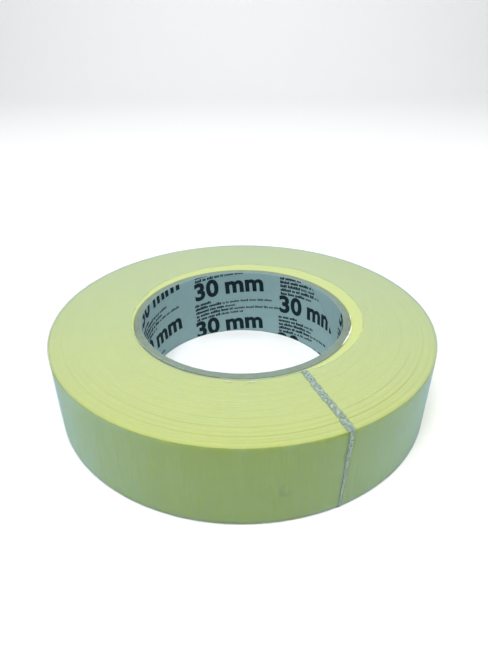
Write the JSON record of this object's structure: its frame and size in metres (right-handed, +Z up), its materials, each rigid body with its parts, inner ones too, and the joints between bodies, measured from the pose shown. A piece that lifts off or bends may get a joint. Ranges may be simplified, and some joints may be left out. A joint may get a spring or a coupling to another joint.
{
  "type": "masking tape roll",
  "caption": "Full roll of pale yellow-green crepe masking tape on a printed paperboard core, laid flat and sealed in clear shrink film with a welded seam.",
  "frame": {"origin": "on the roll's axis, in the plane of the film's lower face that the roll rests on", "axes": "+Z up along the roll's axis; -Y is the side that the picture looks at, and the film's welded seam is on that side, a little towards +X; the upper film opening is off centre towards +X and +Y"},
  "size_m": [0.142, 0.142, 0.0304],
  "materials": {
    "liner_paper": "satin",
    "grey_board": "matte",
    "outer_paper": "matte",
    "crepe_tape": "satin",
    "clear_film": "gloss"
  },
  "bodies": {
    "root": {"core_printed_liner": "liner_paper", "core_board_ply_1": "grey_board", "core_board_ply_2": "grey_board", "core_board_ply_3": "grey_board", "core_board_ply_4": "grey_board", "core_board_ply_5": "grey_board", "core_outer_ply": "outer_paper", "tape_winding": "crepe_tape", "tape_outer_turn": "crepe_tape", "film_sleeve": "clear_film", "film_seam": "clear_film"}
  },
  "joints": []
}
